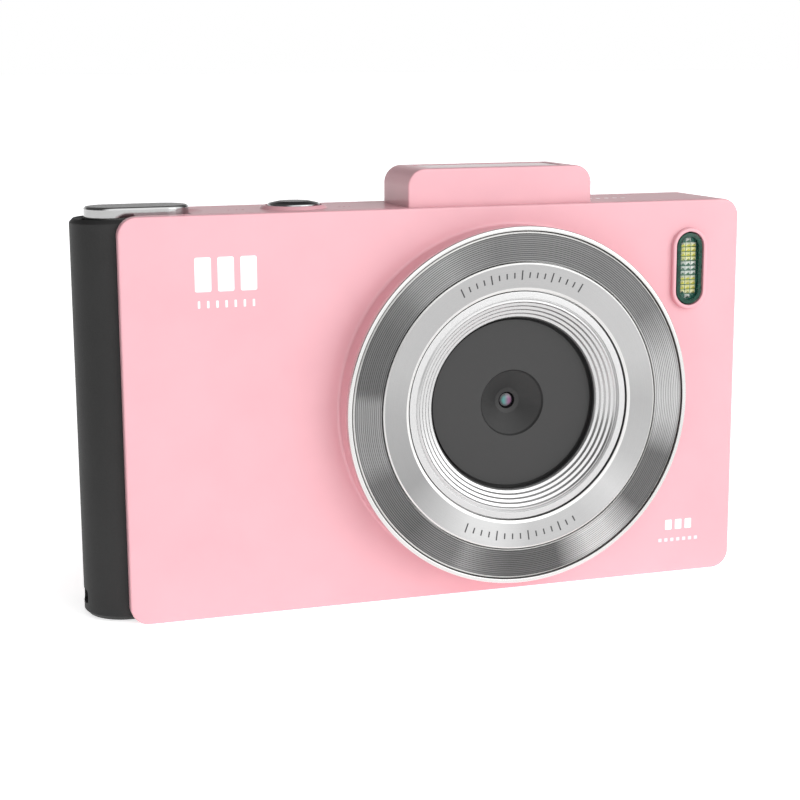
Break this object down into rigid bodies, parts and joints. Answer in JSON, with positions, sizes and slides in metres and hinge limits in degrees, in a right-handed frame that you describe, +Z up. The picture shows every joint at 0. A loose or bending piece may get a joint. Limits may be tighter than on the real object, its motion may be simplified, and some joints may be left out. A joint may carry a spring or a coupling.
{
  "type": "compact digital camera",
  "caption": "Flat pink compact digital camera with a fixed metal lens ring, half-round black grip, top shutter and power buttons, small fill-light window and a bottom battery door.",
  "frame": {"origin": "middle of the flat base, under the centre of the whole camera", "axes": "+Z up, -Y towards the subject (the lens faces -Y), +X to the right seen from the front, the grip at -X"},
  "size_m": [0.1076, 0.0236, 0.0683],
  "materials": {
    "pink_shell": "satin moulded",
    "black_grip": "satin moulded",
    "chrome": "polished",
    "turned_metal": "turned, fine concentric lines",
    "satin_metal": "satin",
    "lens_black": "matte",
    "lens_glass": "coated",
    "clear_pane": "polished",
    "reflector": "faceted",
    "screen_glass": "polished",
    "circuit_board": "coated",
    "dark_plastic": "matte",
    "key_grey": "satin",
    "steel": "plated",
    "brass": "machined",
    "silicone": "matte",
    "battery_wrap": "film"
  },
  "bodies": {
    "camera_body": {"front_cover": "pink_shell", "mid_frame": "pink_shell", "rear_cover": "pink_shell", "hump_plate": "pink_shell", "grip_cover": "black_grip", "strap_bar": "steel", "rim_ring": "chrome", "turned_ring": "turned_metal", "flat_ring": "satin_metal", "ribbed_cone": "satin_metal", "lens_plate": "lens_black", "lens_glass": "lens_glass", "lens_barrel": "dark_plastic", "sensor_board": "circuit_board", "flash_window": "clear_pane", "flash_reflector": "reflector", "flash_board": "circuit_board", "shutter_switch": "dark_plastic", "power_switch": "dark_plastic", "top_board": "circuit_board", "lcd_window": "screen_glass", "lcd_module": "dark_plastic", "status_lamp": "clear_pane", "key_membrane": "silicone", "main_board": "circuit_board", "battery": "battery_wrap", "battery_holder": "dark_plastic", "battery_contact": "brass", "door_pin": "steel", "tripod_nut": "brass", "card_socket": "steel", "usb_socket": "steel", "speaker": "dark_plastic", "microphone": "steel", "screw_bottom_1": "steel", "screw_bottom_2": "steel", "screw_side_1": "steel", "screw_side_2": "steel", "screw_board_1": "steel", "screw_board_2": "steel", "screw_board_3": "steel"},
    "shutter_button": {"shutter_button": "chrome"},
    "power_button": {"power_button": "chrome"},
    "battery_door": {"battery_door": "pink_shell"},
    "memory_card": {"memory_card": "dark_plastic"},
    "key_ok": {"key_ok": "key_grey"},
    "key_up": {"key_up": "key_grey"},
    "key_down": {"key_down": "key_grey"},
    "key_left": {"key_left": "key_grey"},
    "key_right": {"key_right": "key_grey"},
    "key_menu": {"key_menu": "key_grey"},
    "key_mode": {"key_mode": "key_grey"},
    "key_play": {"key_play": "key_grey"},
    "key_delete": {"key_delete": "key_grey"}
  },
  "joints": [
    {"name": "shutter_press", "type": "slide", "parent": "camera_body", "child": "shutter_button", "axis": [0, 0, -1], "range_m": [0, 0.001], "stiffness_N_per_m": 500, "springref_m": -0.001},
    {"name": "power_press", "type": "slide", "parent": "camera_body", "child": "power_button", "axis": [0, 0, -1], "range_m": [0, 0.0005], "stiffness_N_per_m": 500, "springref_m": -0.001},
    {"name": "key_ok_press", "type": "slide", "parent": "camera_body", "child": "key_ok", "axis": [0, -1, 0], "range_m": [0, 0.0004], "stiffness_N_per_m": 400, "springref_m": -0.001},
    {"name": "key_up_press", "type": "slide", "parent": "camera_body", "child": "key_up", "axis": [0, -1, 0], "range_m": [0, 0.0004], "stiffness_N_per_m": 400, "springref_m": -0.001},
    {"name": "key_down_press", "type": "slide", "parent": "camera_body", "child": "key_down", "axis": [0, -1, 0], "range_m": [0, 0.0004], "stiffness_N_per_m": 400, "springref_m": -0.001},
    {"name": "key_left_press", "type": "slide", "parent": "camera_body", "child": "key_left", "axis": [0, -1, 0], "range_m": [0, 0.0004], "stiffness_N_per_m": 400, "springref_m": -0.001},
    {"name": "key_right_press", "type": "slide", "parent": "camera_body", "child": "key_right", "axis": [0, -1, 0], "range_m": [0, 0.0004], "stiffness_N_per_m": 400, "springref_m": -0.001},
    {"name": "key_menu_press", "type": "slide", "parent": "camera_body", "child": "key_menu", "axis": [0, -1, 0], "range_m": [0, 0.0004], "stiffness_N_per_m": 400, "springref_m": -0.001},
    {"name": "key_mode_press", "type": "slide", "parent": "camera_body", "child": "key_mode", "axis": [0, -1, 0], "range_m": [0, 0.0004], "stiffness_N_per_m": 400, "springref_m": -0.001},
    {"name": "key_play_press", "type": "slide", "parent": "camera_body", "child": "key_play", "axis": [0, -1, 0], "range_m": [0, 0.0004], "stiffness_N_per_m": 400, "springref_m": -0.001},
    {"name": "key_delete_press", "type": "slide", "parent": "camera_body", "child": "key_delete", "axis": [0, -1, 0], "range_m": [0, 0.0004], "stiffness_N_per_m": 400, "springref_m": -0.001},
    {"name": "battery_door_swing", "type": "hinge", "parent": "camera_body", "child": "battery_door", "pos_m": [-0.00975, 0.00038, 0.0011], "axis": [0, -1, 0], "range_deg": [0, 90]},
    {"name": "memory_card_slide", "type": "slide", "parent": "camera_body", "child": "memory_card", "axis": [1, 0, 0], "range_m": [0, 0.011]}
  ]
}
